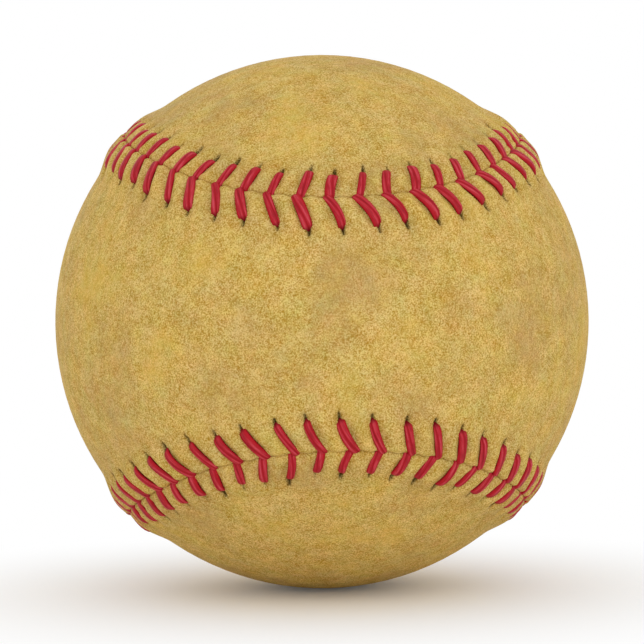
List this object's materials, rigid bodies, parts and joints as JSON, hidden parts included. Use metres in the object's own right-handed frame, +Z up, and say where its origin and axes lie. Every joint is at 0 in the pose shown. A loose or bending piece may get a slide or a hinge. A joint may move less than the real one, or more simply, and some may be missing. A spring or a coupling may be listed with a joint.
{
  "type": "baseball",
  "caption": "Baseball with a cork and rubber centre, wound yarn, and a two-piece leather cover sewn with raised red stitches.",
  "frame": {"origin": "centre of the ball", "axes": "+Z up; -Y out through the middle of the front cover panel's waist; +X towards one lobe of that panel"},
  "size_m": [0.0744, 0.0744, 0.0744],
  "materials": {
    "cork_composite": "granular cork and rubber composite",
    "black_rubber": "matte moulded rubber",
    "red_rubber": "matte moulded rubber",
    "grey_wool": "tightly wound four-ply wool yarn",
    "white_wool": "tightly wound three-ply wool yarn",
    "cotton_yarn": "fine finishing yarn",
    "latex_cement": "thin dried adhesive film",
    "cover_leather": "aged golden leather with a fine grain",
    "waxed_thread": "waxed cotton thread, crimson"
  },
  "bodies": {
    "root": {"cork_core": "cork_composite", "inner_shell_upper": "black_rubber", "inner_shell_lower": "black_rubber", "shell_gasket": "red_rubber", "outer_rubber_layer": "red_rubber", "first_wool_winding": "grey_wool", "second_wool_winding": "white_wool", "third_wool_winding": "grey_wool", "cotton_winding": "cotton_yarn", "cement_coat": "latex_cement", "cover_panel_front": "cover_leather", "cover_panel_back": "cover_leather", "first_stitch_thread": "waxed_thread", "second_stitch_thread": "waxed_thread"}
  },
  "joints": []
}
